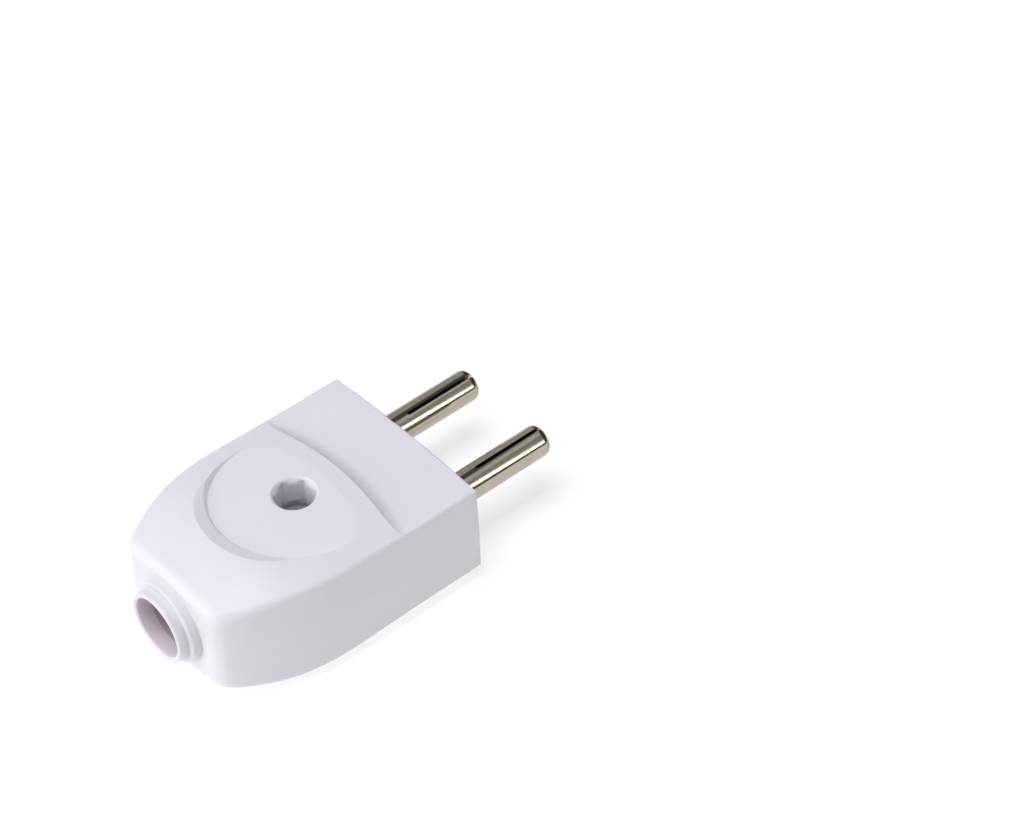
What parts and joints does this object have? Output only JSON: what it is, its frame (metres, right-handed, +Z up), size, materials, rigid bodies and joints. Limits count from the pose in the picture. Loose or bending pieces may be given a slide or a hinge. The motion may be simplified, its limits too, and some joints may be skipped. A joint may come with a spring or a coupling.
{
  "type": "two-pin plug",
  "caption": "Rewirable mains plug: two moulded half shells with thumb catches, split round pins, an inner cord clamp and a cord entry bush.",
  "frame": {"origin": "middle of the pin face, on the parting plane, half way between the two pins", "axes": "+Y along the pins, away from the body; +Z up through the top shell, square to the parting plane; +X to the right seen from the cord end"},
  "size_m": [0.0334, 0.0667, 0.0206],
  "materials": {
    "shell_white": "satin moulded",
    "bush_white": "satin moulded",
    "clamp_fibre": "satin moulded",
    "pin_nickel": "nickel plated",
    "screw_zinc": "zinc plated"
  },
  "bodies": {
    "root": {"upper_shell": "shell_white", "lower_shell": "shell_white", "cord_bush": "bush_white", "cord_clamp": "clamp_fibre", "pin_left": "pin_nickel", "pin_right": "pin_nickel", "terminal_screw_left": "screw_zinc", "terminal_screw_right": "screw_zinc", "case_screw": "screw_zinc", "case_nut": "screw_zinc", "clamp_screw_left": "screw_zinc", "clamp_screw_right": "screw_zinc"}
  },
  "joints": []
}
